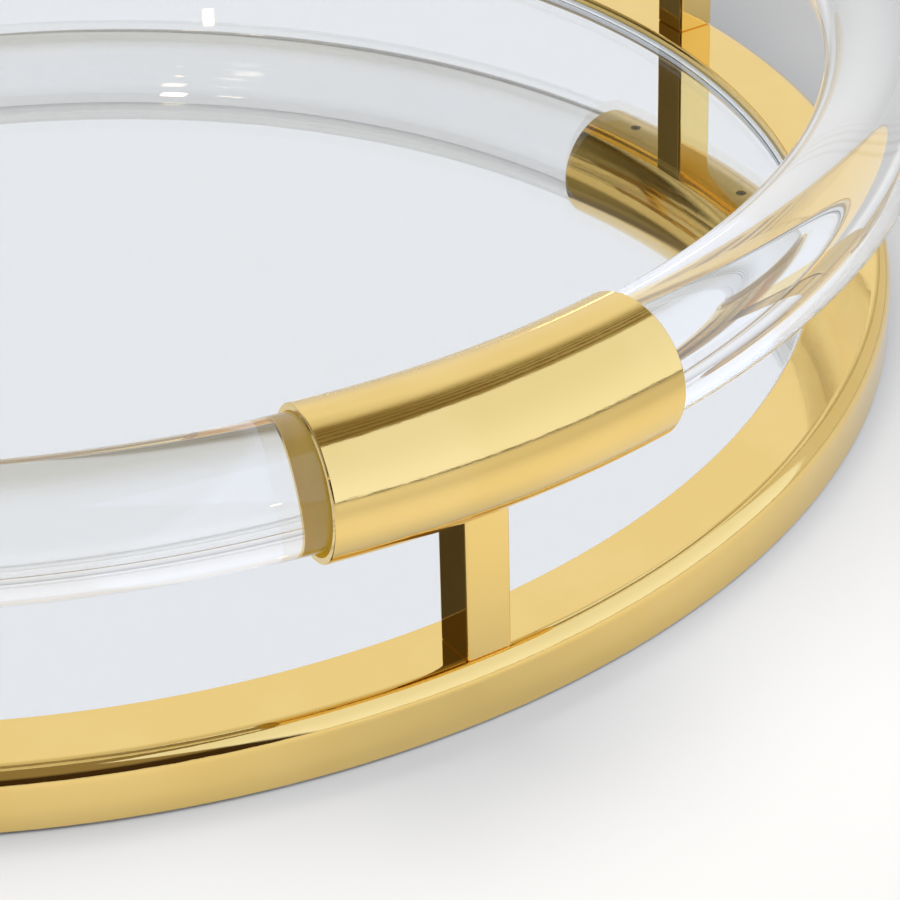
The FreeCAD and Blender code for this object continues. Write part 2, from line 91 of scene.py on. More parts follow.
POST_SCREW_RECESS_DEPTH = 2.5 * MM
BOARD_SCREW_CIRCLE = 134.2 * MM
BOARD_SCREW_COUNT = 8
BOARD_SCREW_HOLE = 1.2 * MM
BOARD_SCREW_RECESS = 2.3 * MM
BOARD_SCREW_RECESS_DEPTH = 0.8 * MM
SLEEVE_SCREW_HOLE = 1.6 * MM
GRUB_ANGLE = math.radians(6.6)
GRUB_HOLE = 1.0 * MM
ROD_DIMPLE_RADIUS = 1.05 * MM
ROD_DIMPLE_DEPTH = 0.45 * MM
AXIS_HOLE = 0.05 * MM

# how finely round shapes are divided
RING_FACETS, DISC_FACETS, RAIL_FACETS = 720, 360, 144
SLEEVE_SPAN, ROD_SPAN, DISC_SPAN = 1.3 * MM, 1.6 * MM, 20 * MM

QUARTERS = {"right": 0.0, "back": math.pi / 2, "left": math.pi, "front": 1.5 * math.pi}
CORNERS = {"back_right": 0.25 * math.pi, "back_left": 0.75 * math.pi,
           "front_left": 1.25 * math.pi, "front_right": 1.75 * math.pi}


# ---- outlines ------------------------------------------------------------------------------------

def rounded_outline(corners, steps=8):
    """Points and outward normals along a closed outline that is walked with its inside at the left.

    corners are (across, up, radius); each one gives an arc of `steps` spans, so no edge is bare.
    """
    points, normals = [], []
    count = len(corners)
    for i in range(count):
        before = np.array(corners[i - 1][:2])
        here = np.array(corners[i][:2])
        after = np.array(corners[(i + 1) % count][:2])
        radius = corners[i][2]
        arriving = (here - before) / np.linalg.norm(here - before)
        leaving = (after - here) / np.linalg.norm(after - here)
        turn = math.atan2(arriving[0] * leaving[1] - arriving[1] * leaving[0], arriving @ leaving)
        reach = radius * math.tan(abs(turn) / 2)
        side = 1.0 if turn > 0 else -1.0
        inward = side * np.array([-arriving[1], arriving[0]])
        centre = here - arriving * reach + inward * radius
        for step in range(steps + 1):
            angle = turn * step / steps
            cos, sin = math.cos(angle), math.sin(angle)
            outward = -inward
            outward = np.array([cos * outward[0] - sin * outward[1],
                                sin * outward[0] + cos * outward[1]])
            points.append(centre + outward * radius)
            normals.append(outward * side)
    return np.array(points), np.array(normals)


def divided(points, normals, longest, closed=True):
    """The same outline with no straight span longer than a length."""
    new_points, new_normals = [], []
    count = len(points)
    for i in range(count if closed else count - 1):
        start, end = points[i], points[(i + 1) % count]
        pieces = max(1, int(math.ceil(np.linalg.norm(end - start) / longest)))
        for step in range(pieces):
            share = step / pieces
            new_points.append(start + (end - start) * share)
            normal = normals[i] * (1 - share) + normals[(i + 1) % count] * share
            new_normals.append(normal / np.linalg.norm(normal))
    if not closed:
        new_points.append(points[-1])
        new_normals.append(normals[-1])
    return np.array(new_points), np.array(new_normals)


# ---- meshes --------------------------------------------------------------------------------------

def mesh_object(name, verts, faces):
    """A smooth-shaded closed mesh in the scene, with its faces turned outwards."""
    mesh = bpy.data.meshes.new(name)
    mesh.from_pydata([tuple(v) for v in verts], [], faces)
    builder = bmesh.new()
    builder.from_mesh(mesh)
    if builder.calc_volume(signed=True) < 0:
        bmesh.ops.reverse_faces(builder, faces=builder.faces[:])
    for face in builder.faces:
        face.smooth = True
    builder.to_mesh(mesh)
    builder.free()
    made = bpy.data.objects.new(name, mesh)
    scene.collection.objects.link(made)
    return made


def skinned(name, rows, closed):
    """A mesh over rows of points, each row a loop; open rows get a fan to a tip at each end."""
    count, around = len(rows), len(rows[0])
    verts = np.concatenate(rows)
    faces = []
    for r in range(count if closed else count - 1):
        this, following = r * around, (r + 1) % count * around
        for c in range(around):
            beside = (c + 1) % around
            faces.append((this + c, this + beside, following + beside, following + c))
    if not closed:
        first, last, base = len(verts), len(verts) + 1, (count - 1) * around
        verts = np.concatenate([verts, [rows[0].mean(axis=0), rows[-1].mean(axis=0)]])
        for c in range(around):
            beside = (c + 1) % around
            faces.append((first, beside, c))
            faces.append((last, base + c, base + beside))
    return mesh_object(name, verts, faces)


def set_normals(made, field):
    """Give each corner the normal that the shape has there, so that curved faces look exact.

    field takes points and face normals and returns normals; a face that disagrees keeps its own.
    """
    mesh = made.data
    places = np.zeros(len(mesh.vertices) * 3)
    mesh.vertices.foreach_get("co", places)
    corner = np.zeros(len(mesh.loops), np.int64)
    mesh.loops.foreach_get("vertex_index", corner)
    flat = np.zeros(len(mesh.polygons) * 3)
    mesh.polygons.foreach_get("normal", flat)
    totals = np.zeros(len(mesh.polygons), np.int64)
    mesh.polygons.foreach_get("loop_total", totals)
    face_normals = np.repeat(flat.reshape(-1, 3), totals, axis=0)
    result = field(places.reshape(-1, 3)[corner], face_normals)
    agree = np.sum(result * face_normals, axis=1) > 0.75
    result = np.where(agree[:, None], result, face_normals)
    mesh.normals_split_custom_set(result.tolist())


def outline_field(points, normals, closed):
    """Normals of an outline at places given as (across, up)."""
    ends = np.roll(points, -1, axis=0) if closed else points[1:]
    end_normals = np.roll(normals, -1, axis=0) if closed else normals[1:]
    spans = list(zip(points, ends, normals, end_normals))
    spans = spans if closed else spans[:len(ends)]

    def field(places):
        best = np.full(len(places), np.inf)
        found = np.zeros((len(places), 2))
        for start, end, start_normal, end_normal in spans:
            along = end - start
            share = np.clip((places - start) @ along / max(along @ along, 1e-18), 0, 1)[:, None]
            away = np.linalg.norm(places - start - share * along, axis=1)
            nearer = away < best - 1e-9
            best = np.where(nearer, away, best)
            normal = start_normal * (1 - share) + end_normal * share
            found = np.where(nearer[:, None], normal, found)
        return found / np.linalg.norm(found, axis=1, keepdims=True)
    return field


def lathe(name, points, closed, segments):
    """An outline of (radius, height) turned about +Z."""
    angles = np.linspace(0, 2 * math.pi, segments, endpoint=False)
    cos, sin = np.cos(angles), np.sin(angles)
    rows = [np.stack([r * cos, r * sin, np.full_like(cos, z)], axis=1) for r, z in points]
    return skinned(name, rows, closed)


def lathe_field(points, normals, closed):
    """Normals of a lathed shape."""
    outline = outline_field(points, normals, closed)

    def field(places, face_normals):
        radius = np.maximum(np.hypot(places[:, 0], places[:, 1]), 1e-9)
        normal = outline(np.stack([radius, places[:, 2]], axis=1))
        return np.stack([normal[:, 0] * places[:, 0] / radius,
                         normal[:, 0] * places[:, 1] / radius, normal[:, 1]], axis=1)
    return field


def bent(name, points, closed, middle, height, around):
    """An outline of (distance from the rail's line, length along it) turned about that line.

    middle is the angle about +Z where the length is 0.
    """
    turns = np.linspace(0, 2 * math.pi, around, endpoint=False)
    rows = []
    for distance, length in points:
        angle = middle + length / RAIL_RADIUS
        radius = RAIL_RADIUS + distance * np.cos(turns)
        rows.append(np.stack([radius * math.cos(angle), radius * math.sin(angle),
                              height + distance * np.sin(turns)], axis=1))
    return skinned(name, rows, closed)


def bent_field(points, normals, closed, middle, height):
    """Normals of a shape made by bent."""
    outline = outline_field(points, normals, closed)

    def field(places, face_normals):
        radius = np.hypot(places[:, 0], places[:, 1])
        angle = np.arctan2(places[:, 1], places[:, 0])
        turned = (angle - middle + math.pi) % (2 * math.pi) - math.pi
        across, up = radius - RAIL_RADIUS, places[:, 2] - height
        distance = np.maximum(np.hypot(across, up), 1e-9)
        normal = outline(np.stack([distance, turned * RAIL_RADIUS], axis=1))
        out = normal[:, 0] * across / distance
        return np.stack([out * np.cos(angle) - normal[:, 1] * np.sin(angle),
                         out * np.sin(angle) + normal[:, 1] * np.cos(angle),
                         normal[:, 0] * up / distance], axis=1)
    return field


def drill(made, holes, sides=48):
    """Cut upright round holes, each given as (x, y, radius, lower end, upper end)."""
    builder = bmesh.new()
    for x, y, radius, low, high in holes:
        place = Matrix.Translation((x, y, (low + high) / 2))
        bmesh.ops.create_cone(builder, cap_ends=True, segments=sides, radius1=radius,
                              radius2=radius, depth=high - low, matrix=place)
    mesh = bpy.data.meshes.new("drill")
    builder.to_mesh(mesh)
    builder.free()
    cutter = bpy.data.objects.new("drill", mesh)
    scene.collection.objects.link(cutter)
    modifier = made.modifiers.new("holes", "BOOLEAN")
    modifier.operation = "DIFFERENCE"
    modifier.solver = "EXACT"
    modifier.object = cutter
    bpy.context.view_layer.update()
    depsgraph = bpy.context.evaluated_depsgraph_get()
    result = bpy.data.meshes.new_from_object(made.evaluated_get(depsgraph))
    made.modifiers.clear()
    old, name = made.data, made.data.name
    made.data = result
    bpy.data.meshes.remove(old)
    made.data.name = name
    bpy.data.objects.remove(cutter)
    bpy.data.meshes.remove(mesh)
    for polygon in made.data.polygons:
        polygon.use_smooth = True


def with_holes(field, holes):
    """The field of a drilled shape: on a hole's wall the normal points at the hole's axis."""
    def drilled(places, face_normals):
        result = field(places, face_normals)
        upright = np.abs(face_normals[:, 2]) < 0.2
        for x, y, radius, low, high in holes:
            away = places[:, :2] - (x, y)
            distance = np.linalg.norm(away, axis=1)
            on_wall = (np.abs(distance - radius) < 0.02 * MM) & upright
            inward = np.zeros_like(places)
            inward[:, :2] = -away / np.maximum(distance, 1e-9)[:, None]
            result = np.where(on_wall[:, None], inward, result)
        return result
    return drilled


def at_angle(radius, angle):
    """(x, y) at a radius and an angle about +Z."""
    return radius * math.cos(angle), radius * math.sin(angle)


def place_piece(made, slot, *replaced):
    """Let a piece ride with the tray and stand for its CAD nodes."""
    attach(made, "root")
    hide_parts(*replaced)
    return made


# ---- pieces --------------------------------------------------------------------------------------

def make_ring():
    """The base ring: wall, ledge and the recesses below for its screws."""
    corners = [
        (LEDGE_INNER, RING_BOTTOM, 0.1 * MM),
        (RING_OUTER - RING_FOOT_CHAMFER, RING_BOTTOM, 0.1 * MM),
        (RING_OUTER, RING_BOTTOM + RING_FOOT_CHAMFER, 0.1 * MM),
        (RING_OUTER, RING_TOP, RING_OUTER_ROUNDING),
        (RING_INNER, RING_TOP, RING_INNER_ROUNDING),
        (RING_INNER, LEDGE_TOP, 0.05 * MM),
        (LEDGE_INNER, LEDGE_TOP, 0.1 * MM),
    ]
    points, normals = rounded_outline(corners, steps=12)
    made = lathe("BaseRing", points, True, RING_FACETS)
    holes, below = [], RING_BOTTOM - MM
    for angle in QUARTERS.values():
        x, y = at_angle(POST_RADIUS, angle)
        holes.append((x, y, POST_SCREW_HOLE, below, RING_TOP + MM))
        holes.append((x, y, POST_SCREW_RECESS, below, RING_BOTTOM + POST_SCREW_RECESS_DEPTH))
    for i in range(BOARD_SCREW_COUNT):
        x, y = at_angle(BOARD_SCREW_CIRCLE, math.pi * (2 * i + 1) / BOARD_SCREW_COUNT)
        holes.append((x, y, BOARD_SCREW_HOLE, below, LEDGE_TOP + MM))
        holes.append((x, y, BOARD_SCREW_RECESS, below, RING_BOTTOM + BOARD_SCREW_RECESS_DEPTH))
    drill(made, holes[0::2])
    drill(made, holes[1::2])
    set_normals(made, with_holes(lathe_field(points, normals, True), holes))
    return place_piece(made, "gold", "base_ring")


def make_glass():
    """The mirror's clear glass with ground edges."""
    half = GLASS_RADIUS
    corners = [
        (-half, glass_low.z, 0.1 * MM),
        (half - GLASS_ARRIS, glass_low.z, 0.06 * MM),
        (half, glass_low.z + GLASS_ARRIS, 0.06 * MM),
        (half, glass_high.z - GLASS_ARRIS, 0.06 * MM),
        (half - GLASS_ARRIS, glass_high.z, 0.06 * MM),
        (-half, glass_high.z, 0.1 * MM),
    ]
    points, normals = half_outline(rounded_outline(corners, steps=3))
    points, normals = divided(points, normals, DISC_SPAN, closed=False)
    made = lathe("MirrorGlass", points, False, RING_FACETS)
    set_normals(made, lathe_field(points, normals, False))
    return place_piece(made, "glass", "mirror_glass")


def half_outline(outline):
    """The part of a symmetric outline that lies right of the axis, from the axis to the axis."""
    points, normals = outline
    kept = [i for i in range(len(points)) if points[i][0] > 0]
    points, normals = points[kept], normals[kept]
    near = 0.02 * MM
    first = np.array([near, points[0][1]])
    last = np.array([near, points[-1][1]])
    return (np.concatenate([[first], points, [last]]),
            np.concatenate([[normals[0]], normals, [normals[-1]]]))


def make_silvering():
    """The silvered layer, a hair below the glass so that the two faces don't meet."""
    half, gap = silver_high.x, 0.02 * MM
    corners = [
        (-half, silver_low.z, 0.02 * MM), (half, silver_low.z, 0.02 * MM),
        (half, silver_high.z - gap, 0.02 * MM), (-half, silver_high.z - gap, 0.02 * MM),
    ]
    points, normals = half_outline(rounded_outline(corners, steps=2))
    points, normals = divided(points, normals, DISC_SPAN, closed=False)
    made = lathe("MirrorSilver", points, False, DISC_FACETS)
    set_normals(made, lathe_field(points, normals, False))
    return place_piece(made, "silvering", "mirror_silvering")


def make_sleeve(side, middle):
    """A bent gold tube with rounded ends and holes below."""
    half = SLEEVE_SWEEP * RAIL_RADIUS / 2
    corners = [
        (BORE_RADIUS, -half, 0.08 * MM), (SLEEVE_RADIUS, -half, 0.25 * MM),
        (SLEEVE_RADIUS, half, 0.25 * MM), (BORE_RADIUS, half, 0.08 * MM),
    ]
    points, normals = rounded_outline(corners, steps=6)
    points, normals = divided(points, normals, SLEEVE_SPAN)
    made = bent("Sleeve_" + side, points, True, middle, SLEEVE_HEIGHT, RAIL_FACETS)
    low, high = SLEEVE_HEIGHT - SLEEVE_RADIUS - MM, SLEEVE_HEIGHT
    holes = [at_angle(POST_RADIUS, middle) + (SLEEVE_SCREW_HOLE, low, high)]
    for sign in (1, -1):
        place = at_angle(RAIL_RADIUS, middle + sign * GRUB_ANGLE)
        holes.append(place + (GRUB_HOLE, low, high))
    drill(made, holes)
    field = bent_field(points, normals, True, middle, SLEEVE_HEIGHT)
    set_normals(made, with_holes(field, holes))
    return place_piece(made, "gold", "sleeve_" + side)


def make_rod(corner, middle):
    """A clear bent rod with chamfered ends and a dimple below each end."""
    half = ROD_SWEEP * RAIL_RADIUS / 2
    cut = ROD_CHAMFER
    corners = []
    for across, along in ((-1, -1), (1, -1), (1, 1), (-1, 1)):
        end = (across * (ROD_RADIUS - cut), along * half, 0.08 * MM)
        side = (across * ROD_RADIUS, along * (half - cut), 0.08 * MM)
        corners += [end, side] if across * along < 0 else [side, end]
    points, normals = half_outline(rounded_outline(corners, steps=3))
    points, normals = divided(points, normals, ROD_SPAN, closed=False)
    made = bent("Rod_" + corner, points, False, middle, ROD_HEIGHT, RAIL_FACETS)
    low = ROD_HEIGHT - ROD_RADIUS
    holes = []
    for sign in (1, -1):
        x, y = at_angle(RAIL_RADIUS, middle + sign * (math.pi / 4 - GRUB_ANGLE))
        holes.append((x, y, ROD_DIMPLE_RADIUS, low - MM, low + ROD_DIMPLE_DEPTH))
    drill(made, holes)
    field = bent_field(points, normals, False, middle, ROD_HEIGHT)
    set_normals(made, with_holes(field, holes))
    return place_piece(made, "acrylic", "rod_" + corner)


def make_post(side, middle):
    """A square post with a chamfered foot, screw holes and a top that fits the sleeve."""
    half, rounding = POST_SIDE / 2, POST_ROUNDING
    square, _ = rounded_outline([(-half, -half, rounding), (half, -half, rounding),
                                 (half, half, rounding), (-half, half, rounding)], steps=8)
    square, _ = divided(square, square * 0 + (1, 0), 0.6 * MM)
    shrink = (half - POST_CHAMFER) / half
    bearing = np.arctan2(square[:, 1], square[:, 0])

    def circle(radius):
        return np.stack([radius * np.cos(bearing), radius * np.sin(bearing)], axis=1)

    def saddle(flat):
        radius = np.hypot(POST_RADIUS + flat[:, 0], flat[:, 1])
        return SLEEVE_HEIGHT - np.sqrt(SLEEVE_RADIUS ** 2 - (radius - RAIL_RADIUS) ** 2)

    def row(flat, height):
        x = (POST_RADIUS + flat[:, 0]) * math.cos(middle) - flat[:, 1] * math.sin(middle)
        y = (POST_RADIUS + flat[:, 0]) * math.sin(middle) + flat[:, 1] * math.cos(middle)
        return np.stack([x, y, np.broadcast_to(height, x.shape)], axis=1)

    foot = front_post_low.z
    lower, upper, tip = circle(POST_SCREW_HOLE), circle(SLEEVE_SCREW_HOLE), circle(AXIS_HOLE)
    lower_end = foot + POST_LOWER_HOLE_DEPTH
    rows = [row(tip, lower_end), row(lower, lower_end), row(lower, foot)]
    rows += [row(square * shrink, foot), row(square, foot + POST_CHAMFER)]
    rows += [row(square, foot + POST_CHAMFER + (saddle(square) - foot - POST_CHAMFER) * share)
             for share in np.linspace(0, 1, 13)[1:]]
    for share in np.linspace(0, 1, 7)[1:]:
        flat = square * (1 - share) + upper * share
        rows.append(row(flat, saddle(flat)))
    rows += [row(upper, POST_UPPER_HOLE_FLOOR), row(tip, POST_UPPER_HOLE_FLOOR)]
    made = skinned("Post_" + side, rows, False)

    def field(places, face_normals):
        turned_x = places[:, 0] * math.cos(middle) + places[:, 1] * math.sin(middle) - POST_RADIUS
        turned_y = places[:, 1] * math.cos(middle) - places[:, 0] * math.sin(middle)
        over_x = np.maximum(np.abs(turned_x) - half + rounding, 0) * np.sign(turned_x)
        over_y = np.maximum(np.abs(turned_y) - half + rounding, 0) * np.sign(turned_y)
        length = np.maximum(np.hypot(over_x, over_y), 1e-12)
        over_x, over_y = over_x / length, over_y / length
        outside = np.hypot(turned_x, turned_y) > half * 0.9
        wall = (np.abs(face_normals[:, 2]) < 0.3) & outside
        normal = np.stack([over_x * math.cos(middle) - over_y * math.sin(middle),
                           over_x * math.sin(middle) + over_y * math.cos(middle),
                           0 * over_x], axis=1)
        return np.where(wall[:, None], normal, face_normals)
    set_normals(made, field)
    return place_piece(made, "gold", "post_" + side)


ring = make_ring()
glass = make_glass()
silvering = make_silvering()
sleeves = [make_sleeve(side, angle) for side, angle in QUARTERS.items()]
posts = [make_post(side, angle) for side, angle in QUARTERS.items()]
rods = [make_rod(corner, angle) for corner, angle in CORNERS.items()]


# ---- materials -----------------------------------------------------------------------------------

class Nodes:
    """A short way to write a node tree: each call adds one node and wires its inputs."""

    def __init__(self, tree):
        self.tree = tree
        tree.nodes.clear()

    def add(self, kind, inputs=None, **settings):
        """A node; an input is a value or another node's output."""
        made = self.tree.nodes.new(kind)
        for name, setting in settings.items():
            setattr(made, name, setting)
        for name, given in (inputs or {}).items():
            if isinstance(given, bpy.types.NodeSocket):
                self.tree.links.new(given, made.inputs[name])
            else:
                made.inputs[name].default_value = given
        return made

    def math(self, operation, *values):
        """One step of arithmetic on numbers or other nodes' outputs."""
        made = self.add("ShaderNodeMath", operation=operation)
        for i, given in enumerate(values):
            if isinstance(given, bpy.types.NodeSocket):
                self.tree.links.new(given, made.inputs[i])
            else:
                made.inputs[i].default_value = given
        return made.outputs[0]

    def dot(self, vector, axis):
        """How far a vector reaches along an axis."""
        made = self.add("ShaderNodeVectorMath", {0: vector, 1: axis}, operation="DOT_PRODUCT")
        return made.outputs["Value"]

    def step(self, value, low, high, first=0.0, last=1.0):
        """A smooth change from first to last while value goes from low to high."""
        made = self.add("ShaderNodeMapRange", {
            "Value": value, "From Min": low, "From Max": high, "To Min": first, "To Max": last},
            interpolation_type="SMOOTHSTEP")
        return made.outputs["Result"]

    def mix(self, share, first, second):
        """A colour between two colours."""
        made = self.add("ShaderNodeMix", data_type="RGBA")
        for name, given in (("Factor_Float", share), ("A_Color", first), ("B_Color", second)):
            socket = next(i for i in made.inputs if i.identifier == name)
            if isinstance(given, bpy.types.NodeSocket):
                self.tree.links.new(given, socket)
            else:
                socket.default_value = given
        return next(o for o in made.outputs if o.identifier == "Result_Color")

    def noise(self, vector, scale, detail=3.0, roughness=0.5):
        """Cloudy noise from 0 to 1."""
        made = self.add("ShaderNodeTexNoise", {
            "Vector": vector, "Scale": scale, "Detail": detail, "Roughness": roughness})
        return made.outputs["Fac"]

    def place(self):
        """Where the surface is, in metres."""
        return self.add("ShaderNodeTexCoord").outputs["Object"]

    def bump(self, height, distance, strength=1.0, normal=None):
        """A surface normal tilted by a height that is up to `distance` metres."""
        inputs = {"Height": height, "Distance": distance, "Strength": strength}
        if normal is not None:
            inputs["Normal"] = normal
        return self.add("ShaderNodeBump", inputs).outputs["Normal"]


def new_material(name):
    """A material with an empty node tree, and the tree's short writer."""
    material = bpy.data.materials.new(name)
    material.use_nodes = True
    return material, Nodes(material.node_tree)


def finish_material(graph, shader):
    """Show a shader's output on the surface."""
    graph.add("ShaderNodeOutputMaterial", {"Surface": shader})


def wear(graph, radius, sharpness):
    """About 1 on convex edges and 0 on flats."""
    bevelled = graph.add("ShaderNodeBevel", {"Radius": radius}, samples=4).outputs["Normal"]
    straight = graph.add("ShaderNodeNewGeometry").outputs["Normal"]
    made = graph.add("ShaderNodeVectorMath", {0: bevelled, 1: straight}, operation="DOT_PRODUCT")
    return graph.step(made.outputs["Value"], 1.0 - sharpness, 1.0, 1.0, 0.0)


def gold_material():
    """Polished gold plate: faint buffing waves, fine scratches and a few specks."""
    material, graph = new_material("polished_gold")
    place = graph.place()
    cloud = graph.noise(place, 55.0, 4.0)
    colour = graph.mix(graph.step(cloud, 0.35, 0.65),
                       (0.855, 0.612, 0.212, 1), (0.88, 0.638, 0.236, 1))
    waves = graph.noise(place, 140.0, 1.0)
    stretched = graph.add("ShaderNodeMapping", {
        "Vector": place, "Scale": (1.0, 1.0, 9.0)}).outputs["Vector"]
    lines = graph.noise(stretched, 420.0, 2.0)
    scratches = graph.noise(stretched, 2600.0, 2.0)
    speck = graph.add("ShaderNodeTexVoronoi", {"Vector": place, "Scale": 95.0}).outputs["Distance"]
    pit = graph.step(speck, 0.012, 0.03, 1.0, 0.0)
    height = graph.math("ADD", graph.math("MULTIPLY", waves, 0.9),
                        graph.math("MULTIPLY", lines, 0.25))
    soft = graph.bump(height, 0.00002)
    fine = graph.bump(scratches, 0.0000006, 1.0, soft)
    pitted = graph.bump(pit, 0.00002, 0.5, fine)
    smear = graph.noise(place, 34.0, 5.0, 0.6)
    rough = graph.step(smear, 0.3, 0.75, 0.035, 0.075)
    rough = graph.math("ADD", rough, graph.math("MULTIPLY", pit, 0.2))
    shader = graph.add("ShaderNodeBsdfPrincipled", {
        "Base Color": colour, "Metallic": 1.0, "Roughness": rough, "Normal": pitted})
    finish_material(graph, shader.outputs[0])
    return material


def bore_gold_painted_glow_material():
    """The sleeves' bore: plated over a reamed surface, so it is duller than the outside. Its warm
    emission is a painted glow that stands in for light reaching into the bore.
    """
    material, graph = new_material("bore_gold_painted_glow")
    place = graph.place()
    marks = graph.noise(place, 900.0, 3.0)
    # cloud varies the painted glow: the emission below is painted light, not a lamp
    cloud = graph.step(graph.noise(place, 150.0, 3.0), 0.3, 0.7)
    colour = graph.mix(marks, (0.80, 0.54, 0.08, 1), (0.88, 0.62, 0.12, 1))
    shader = graph.add("ShaderNodeBsdfPrincipled", {
        "Base Color": colour, "Metallic": 1.0, "Roughness": graph.step(marks, 0.3, 0.7, 0.45, 0.6),
        "Emission Color": graph.mix(cloud, (0.95, 0.60, 0.01, 1), (1.0, 0.88, 0.10, 1)),
        "Emission Strength": 0.14,
        "Normal": graph.bump(marks, 0.000004)})
    finish_material(graph, shader.outputs[0])
    return material


def clear_material(name, tint, ior, waviness, clearness):
    """A clear solid that lets light through to what lies behind it."""
    material, graph = new_material(name)
    place = graph.place()
    waves = graph.noise(place, 60.0, 1.0)
    normal = graph.bump(waves, waviness)
    cloud = graph.noise(place, 40.0, 4.0)
    body = graph.add("ShaderNodeBsdfPrincipled", {
        "Base Color": graph.mix(cloud, tint, (tint[0], tint[1], tint[2] * 0.985, 1)),
        "Roughness": 0.0, "IOR": ior, "Transmission Weight": clearness, "Normal": normal})
    open_way = graph.add("ShaderNodeBsdfTransparent", {"Color": (0.93, 0.93, 0.93, 1)})
    path = graph.add("ShaderNodeLightPath").outputs["Is Shadow Ray"]
    mixed = graph.add("ShaderNodeMixShader", {
        0: path, 1: body.outputs[0], 2: open_way.outputs[0]})
    finish_material(graph, mixed.outputs[0])
    return material


def ground_edge_painted_glow_material():
    """The glass's ground edge: grey-blue and matt, with an emission that is a painted glow standing
    in for light scattered in the edge.
    """
    material, graph = new_material("glass_edge_painted_glow")
    place = graph.place()
    grain = graph.noise(place, 2200.0, 3.0)
    cloud = graph.noise(place, 90.0, 3.0)
    colour = graph.mix(cloud, (0.66, 0.70, 0.72, 1), (0.80, 0.84, 0.87, 1))
    # the emission is painted light: a glow in place of light scattered inside the ground edge
    shader = graph.add("ShaderNodeBsdfPrincipled", {
        "Base Color": colour, "Roughness": graph.step(grain, 0.3, 0.7, 0.3, 0.45),
        "Emission Color": (0.80, 0.85, 0.93, 1), "Emission Strength": 0.4,
        "Normal": graph.bump(grain, 0.00001)})
    finish_material(graph, shader.outputs[0])
    return material


def silvering_material():
    """The mirror's silver, seen from the front through the glass."""
    material, graph = new_material("mirror_silver")
    place = graph.place()
    cloud = graph.noise(place, 12.0, 3.0)
    colour = graph.mix(cloud, (0.905, 0.91, 0.92, 1), (0.92, 0.925, 0.93, 1))
    shader = graph.add("ShaderNodeBsdfPrincipled", {
        "Base Color": colour, "Metallic": 1.0,
        "Roughness": graph.step(graph.noise(place, 300.0), 0.3, 0.7, 0.0, 0.006)})
    finish_material(graph, shader.outputs[0])
    return material


def paint_material():
    """The grey protective paint on the silver's back and rim."""
    material, graph = new_material("mirror_back_paint")
    place = graph.place()
    mottle = graph.noise(place, 160.0, 5.0)
    colour = graph.mix(mottle, (0.16, 0.12, 0.09, 1), (0.27, 0.22, 0.18, 1))
    shader = graph.add("ShaderNodeBsdfPrincipled", {
        "Base Color": colour, "Roughness": graph.step(mottle, 0.3, 0.7, 0.45, 0.65),
        "Normal": graph.bump(mottle, 0.00003)})
    finish_material(graph, shader.outputs[0])
    return material


def felt_material():
    """Black velvety felt."""
    material, graph = new_material("felt")
    place = graph.place()
    fibres = graph.noise(place, 1500.0, 6.0, 0.7)
    patches = graph.noise(place, 45.0, 4.0)
    colour = graph.mix(graph.math("MULTIPLY", fibres, patches),
                       (0.012, 0.012, 0.013, 1), (0.085, 0.085, 0.09, 1))
    shader = graph.add("ShaderNodeBsdfPrincipled", {
        "Base Color": colour, "Roughness": graph.step(fibres, 0.3, 0.7, 0.85, 1.0),
        "Sheen Weight": 0.35, "Sheen Roughness": 0.5, "Normal": graph.bump(fibres, 0.0004)})
    finish_material(graph, shader.outputs[0])
    return material


def board_material():
    """Brown hardboard with pressed fibres."""
    material, graph = new_material("hardboard")
    place = graph.place()
    fibres = graph.noise(place, 900.0, 8.0, 0.65)
    blotch = graph.noise(place, 60.0, 4.0)
    colour = graph.mix(fibres, (0.10, 0.052, 0.024, 1), (0.30, 0.18, 0.09, 1))
    colour = graph.mix(graph.step(blotch, 0.4, 0.75, 0.0, 0.5), colour, (0.15, 0.09, 0.05, 1))
    shader = graph.add("ShaderNodeBsdfPrincipled", {
        "Base Color": colour, "Roughness": graph.step(fibres, 0.3, 0.7, 0.6, 0.85),
        "Normal": graph.bump(fibres, 0.00015)})
    finish_material(graph, shader.outputs[0])
    return material


def foam_material():
    """Pale grey foam tape with small pores."""
    material, graph = new_material("foam_tape")
    place = graph.place()
    pores = graph.add("ShaderNodeTexVoronoi", {
        "Vector": place, "Scale": 2400.0}).outputs["Distance"]
    cloud = graph.noise(place, 120.0, 3.0)
    colour = graph.mix(pores, (0.34, 0.34, 0.33, 1), (0.62, 0.62, 0.60, 1))
    shader = graph.add("ShaderNodeBsdfPrincipled", {
        "Base Color": colour, "Roughness": graph.step(cloud, 0.3, 0.7, 0.75, 0.9),
        "Normal": graph.bump(pores, 0.0001)})
    finish_material(graph, shader.outputs[0])
    return material


def steel_material(name, dull, bright, low, high):
    """Machined steel: turned marks, cloudy plating and brighter worn edges."""
    material, graph = new_material(name)
    place = graph.place()
    cloud = graph.noise(place, 260.0, 5.0)
    stretched = graph.add("ShaderNodeMapping", {
        "Vector": place, "Scale": (1.0, 1.0, 24.0)}).outputs["Vector"]
    marks = graph.noise(stretched, 700.0, 2.0)
    worn = wear(graph, 0.00015, 0.2)
    colour = graph.mix(graph.math("MAXIMUM", graph.step(cloud, 0.3, 0.75), worn), dull, bright)
    shader = graph.add("ShaderNodeBsdfPrincipled", {
        "Base Color": colour, "Metallic": 1.0,
        "Roughness": graph.step(cloud, 0.3, 0.7, low, high),
        "Normal": graph.bump(marks, 0.00002)})
    finish_material(graph, shader.outputs[0])
    return material


